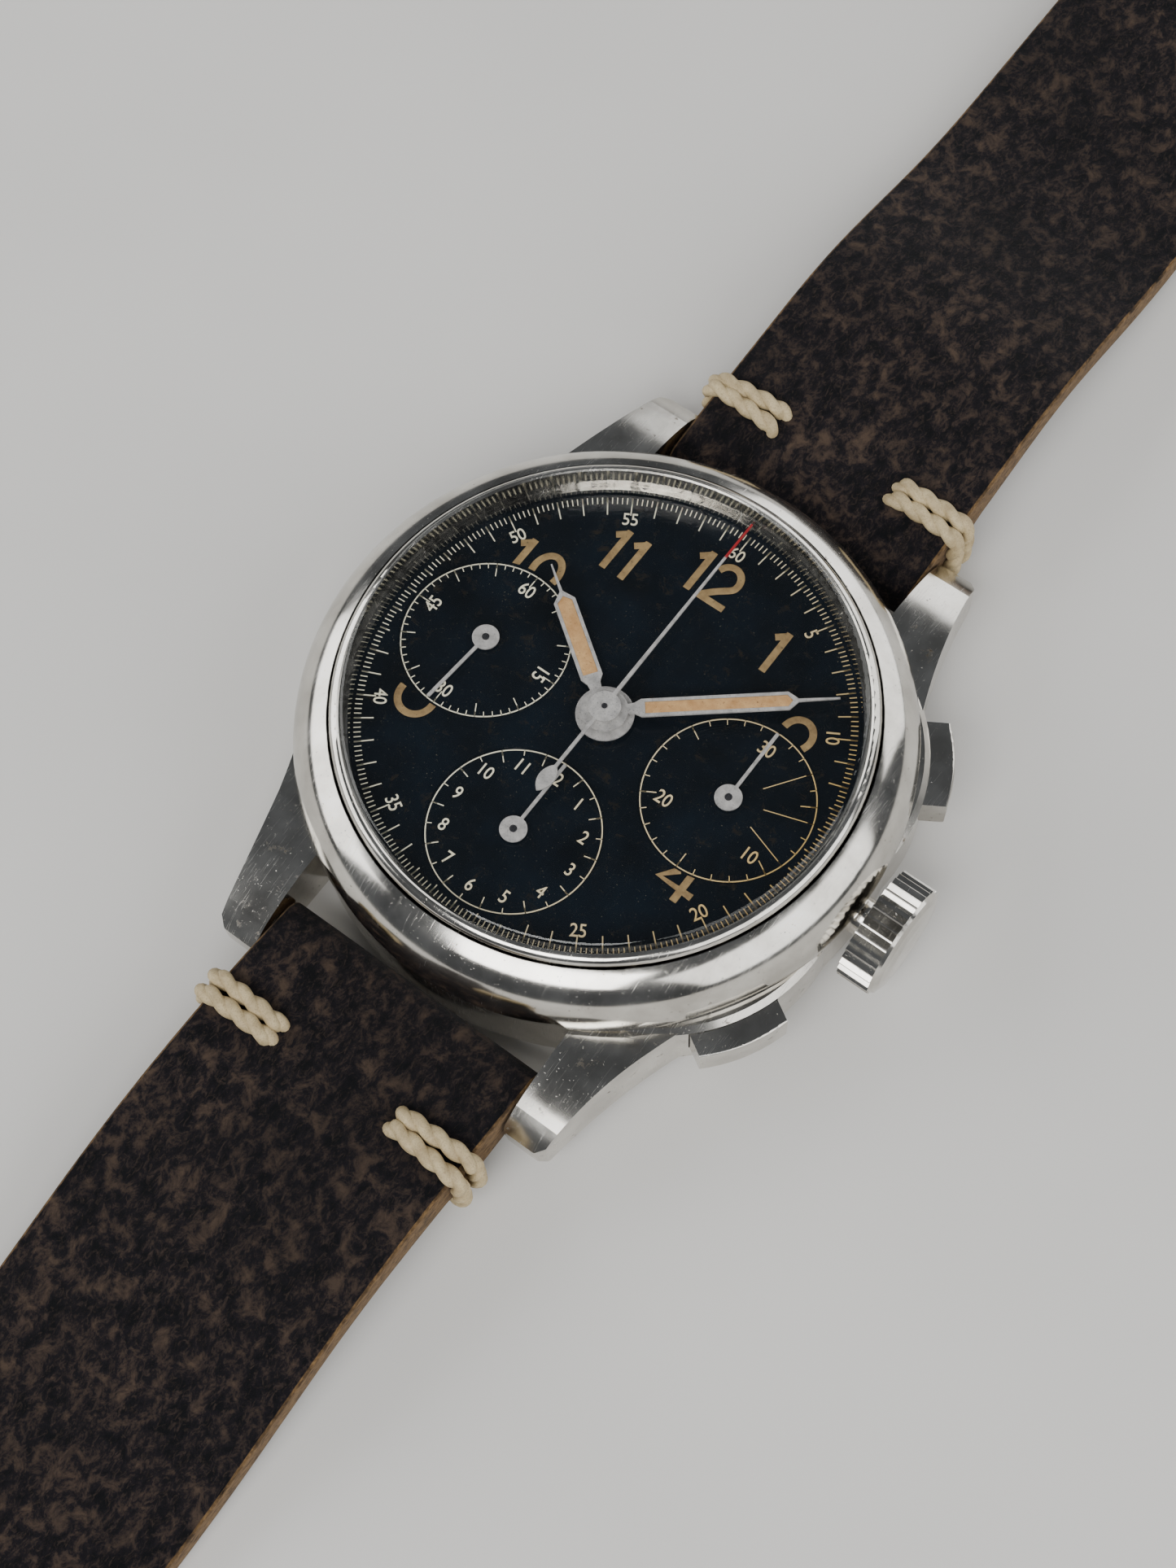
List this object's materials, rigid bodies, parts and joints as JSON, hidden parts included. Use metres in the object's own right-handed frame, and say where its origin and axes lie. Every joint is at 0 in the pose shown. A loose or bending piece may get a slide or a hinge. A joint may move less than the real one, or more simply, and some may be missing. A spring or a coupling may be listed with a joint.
{
  "type": "mechanical wrist chronograph",
  "caption": "Wrist stopwatch: round polished case, black dial with three registers, crown, two pushers and a two-piece leather strap.",
  "frame": {"origin": "centre of the case back's flat, on the axis of the dial and of the centre wheel", "axes": "+Z out of the dial, +Y towards 12 o'clock along the strap, +X towards 3 o'clock and the crown"},
  "size_m": [0.0394, 0.2427, 0.0127],
  "materials": {
    "steel": "polished stainless steel with fine hairlines",
    "acrylic": "clear domed acrylic",
    "dial_black": "gloss black enamel",
    "hand_steel": "rhodium plated, oxidised",
    "brass": "gilt brass",
    "nickel": "nickel plated brass",
    "movement_steel": "polished steel",
    "blued": "blued steel",
    "leather": "distressed dark brown suede"
  },
  "bodies": {
    "case": {"case_middle": "steel", "bezel": "steel", "crystal": "acrylic", "case_back": "steel", "movement_ring": "nickel", "crown_tube": "steel", "spring_bars": "steel", "dial": "dial_black", "main_plate": "nickel", "barrel_bridge": "nickel", "train_bridge": "nickel", "balance_cock": "nickel", "pallet_bridge": "nickel", "chronograph_bridge": "nickel", "bridge_screws": "movement_steel"},
    "setting": {"setting_lever": "movement_steel"},
    "winder": {"crown": "steel", "winding_stem": "movement_steel", "winding_pinion": "movement_steel"},
    "crown_wheel": {"crown_wheel": "movement_steel"},
    "ratchet": {"ratchet_wheel": "movement_steel", "barrel_arbor": "movement_steel"},
    "barrel": {"mainspring_barrel": "brass", "mainspring": "blued"},
    "centre": {"centre_wheel": "brass", "cannon_pinion": "movement_steel", "minute_hand": "hand_steel"},
    "third": {"third_wheel": "brass"},
    "fourth": {"fourth_wheel": "brass", "driving_wheel": "brass", "running_seconds_hand": "hand_steel"},
    "escape": {"escape_wheel": "movement_steel"},
    "pallet": {"pallet_fork": "movement_steel"},
    "balance": {"balance_wheel": "brass", "hairspring": "blued"},
    "minute_work": {"minute_wheel": "brass"},
    "hour": {"hour_wheel": "brass", "hour_hand": "hand_steel"},
    "sweep": {"chronograph_runner": "brass", "sweep_seconds_hand": "hand_steel"},
    "minute_counter": {"minute_counter_runner": "brass", "minute_counter_hand": "hand_steel"},
    "hour_counter": {"hour_counter_runner": "brass", "hour_counter_hand": "hand_steel"},
    "clutch": {"clutch_lever": "movement_steel"},
    "coupling": {"coupling_wheel": "brass"},
    "column": {"column_wheel": "movement_steel"},
    "start_button": {"start_pusher": "steel"},
    "start_lever": {"operating_lever": "movement_steel"},
    "reset_button": {"reset_pusher": "steel"},
    "hammer": {"reset_hammer": "movement_steel"},
    "brake": {"brake_lever": "movement_steel"},
    "strap_12_body": {"strap_12": "leather", "fixed_keeper": "leather"},
    "loose_keeper": {"sliding_keeper": "leather"},
    "buckle": {"buckle_frame": "steel"},
    "tongue": {"buckle_tongue": "steel"},
    "strap_6_body": {"strap_6": "leather"}
  },
  "joints": [
    {"name": "crown_pull", "type": "slide", "parent": "case", "child": "setting", "axis": [1, 0, 0], "range_m": [0, 0.0007]},
    {"name": "crown_turn", "type": "hinge", "parent": "setting", "child": "winder", "pos_m": [0.02, 0, 0.0046], "axis": [1, 0, 0], "continuous": true},
    {"name": "crown_wheel_turn", "type": "hinge", "parent": "case", "child": "crown_wheel", "pos_m": [0.011, 0.00209, 0.004], "axis": [0, 0, 1], "continuous": true},
    {"name": "ratchet_turn", "type": "hinge", "parent": "case", "child": "ratchet", "pos_m": [0.00437, 0.00317, 0.004], "axis": [0, 0, 1], "continuous": true},
    {"name": "minute_turn", "type": "hinge", "parent": "case", "child": "centre", "pos_m": [0, 0, 0.008], "axis": [0, 0, -1], "continuous": true},
    {"name": "barrel_turn", "type": "hinge", "parent": "case", "child": "barrel", "pos_m": [0.00437, 0.00317, 0.004], "axis": [0, 0, 1], "continuous": true},
    {"name": "third_turn", "type": "hinge", "parent": "case", "child": "third", "pos_m": [-0.00456, -0.00229, 0.004], "axis": [0, 0, 1], "continuous": true},
    {"name": "seconds_turn", "type": "hinge", "parent": "case", "child": "fourth", "pos_m": [-0.00864, 0, 0.004], "axis": [0, 0, -1], "continuous": true},
    {"name": "escape_turn", "type": "hinge", "parent": "case", "child": "escape", "pos_m": [-0.00739, 0.00468, 0.004], "axis": [0, 0, 1], "continuous": true},
    {"name": "minute_work_turn", "type": "hinge", "parent": "case", "child": "minute_work", "pos_m": [-0.00172, 0.00246, 0.004], "axis": [0, 0, 1], "continuous": true},
    {"name": "hour_turn", "type": "hinge", "parent": "case", "child": "hour", "pos_m": [0, 0, 0.008], "axis": [0, 0, -1], "continuous": true},
    {"name": "pallet_rock", "type": "hinge", "parent": "case", "child": "pallet", "pos_m": [-0.00593, 0.00701, 0.004], "axis": [0, 0, 1], "range_deg": [-4, 4]},
    {"name": "balance_swing", "type": "hinge", "parent": "case", "child": "balance", "pos_m": [-0.0036, 0.0092, 0.004], "axis": [0, 0, 1], "range_deg": [-220, 220]},
    {"name": "sweep_turn", "type": "hinge", "parent": "case", "child": "sweep", "pos_m": [0, 0, 0.01], "axis": [0, 0, -1], "continuous": true},
    {"name": "minute_counter_turn", "type": "hinge", "parent": "case", "child": "minute_counter", "pos_m": [0.00864, 0, 0.008], "axis": [0, 0, -1], "continuous": true},
    {"name": "hour_counter_turn", "type": "hinge", "parent": "case", "child": "hour_counter", "pos_m": [0, -0.00864, 0.008], "axis": [0, 0, -1], "continuous": true},
    {"name": "clutch_swing", "type": "hinge", "parent": "case", "child": "clutch", "pos_m": [-0.00864, 0, 0.004], "axis": [0, 0, -1], "range_deg": [0, 6]},
    {"name": "coupling_turn", "type": "hinge", "parent": "clutch", "child": "coupling", "pos_m": [-0.00447, 0.00163, 0.004], "axis": [0, 0, -1], "continuous": true},
    {"name": "column_turn", "type": "hinge", "parent": "case", "child": "column", "pos_m": [0.0054, 0.0088, 0.004], "axis": [0, 0, 1], "continuous": true},
    {"name": "start_press", "type": "slide", "parent": "case", "child": "start_button", "axis": [-0.8572, -0.515, 0], "range_m": [0, 0.0008], "stiffness_N_per_m": 2000, "springref_m": -0.0005},
    {"name": "start_lever_turn", "type": "hinge", "parent": "case", "child": "start_lever", "pos_m": [0.009, 0.0104, 0.004], "axis": [0, 0, -1], "range_deg": [0, 11.01]},
    {"name": "reset_press", "type": "slide", "parent": "case", "child": "reset_button", "axis": [-0.8572, 0.515, 0], "range_m": [0, 0.0008], "stiffness_N_per_m": 2000, "springref_m": -0.0005},
    {"name": "hammer_turn", "type": "hinge", "parent": "case", "child": "hammer", "pos_m": [0.0114, -0.0029, 0.004], "axis": [0, 0, -1], "range_deg": [0, 13.84]},
    {"name": "brake_turn", "type": "hinge", "parent": "case", "child": "brake", "pos_m": [-0.0052, -0.0036, 0.004], "axis": [0, 0, -1], "range_deg": [0, 4]},
    {"name": "strap_12_fold", "type": "hinge", "parent": "case", "child": "strap_12_body", "pos_m": [0, 0.0196, 0.00325], "axis": [1, 0, 0], "range_deg": [-70, 60]},
    {"name": "strap_6_fold", "type": "hinge", "parent": "case", "child": "strap_6_body", "pos_m": [0, -0.0196, 0.00325], "axis": [-1, 0, 0], "range_deg": [-70, 60]},
    {"name": "keeper_slide", "type": "slide", "parent": "strap_12_body", "child": "loose_keeper", "axis": [0, -1, 0], "range_m": [0, 0.018]},
    {"name": "buckle_fold", "type": "hinge", "parent": "strap_12_body", "child": "buckle", "pos_m": [0, 0.0956, 0.0017], "axis": [1, 0, 0], "range_deg": [-30, 120]},
    {"name": "tongue_fold", "type": "hinge", "parent": "buckle", "child": "tongue", "pos_m": [0, 0.0956, 0.0017], "axis": [1, 0, 0], "range_deg": [0, 100]}
  ],
  "couplings": [
    {"joint": "crown_wheel_turn", "follows": "crown_turn", "ratio": -0.5},
    {"joint": "ratchet_turn", "follows": "crown_turn", "ratio": 0.25},
    {"joint": "barrel_turn", "follows": "minute_turn", "ratio": 0.125},
    {"joint": "third_turn", "follows": "minute_turn", "ratio": 7.5},
    {"joint": "seconds_turn", "follows": "minute_turn", "ratio": 60},
    {"joint": "escape_turn", "follows": "minute_turn", "ratio": 600},
    {"joint": "minute_work_turn", "follows": "minute_turn", "ratio": 0.33333},
    {"joint": "hour_turn", "follows": "minute_turn", "ratio": 0.083333},
    {"joint": "coupling_turn", "follows": "minute_turn", "ratio": -100},
    {"joint": "minute_counter_turn", "follows": "sweep_turn", "ratio": 0.033333},
    {"joint": "hour_counter_turn", "follows": "sweep_turn", "ratio": 0.0013889},
    {"joint": "start_lever_turn", "follows": "start_press", "rad_per_m": 233.69},
    {"joint": "hammer_turn", "follows": "reset_press", "rad_per_m": 295.36}
  ]
}
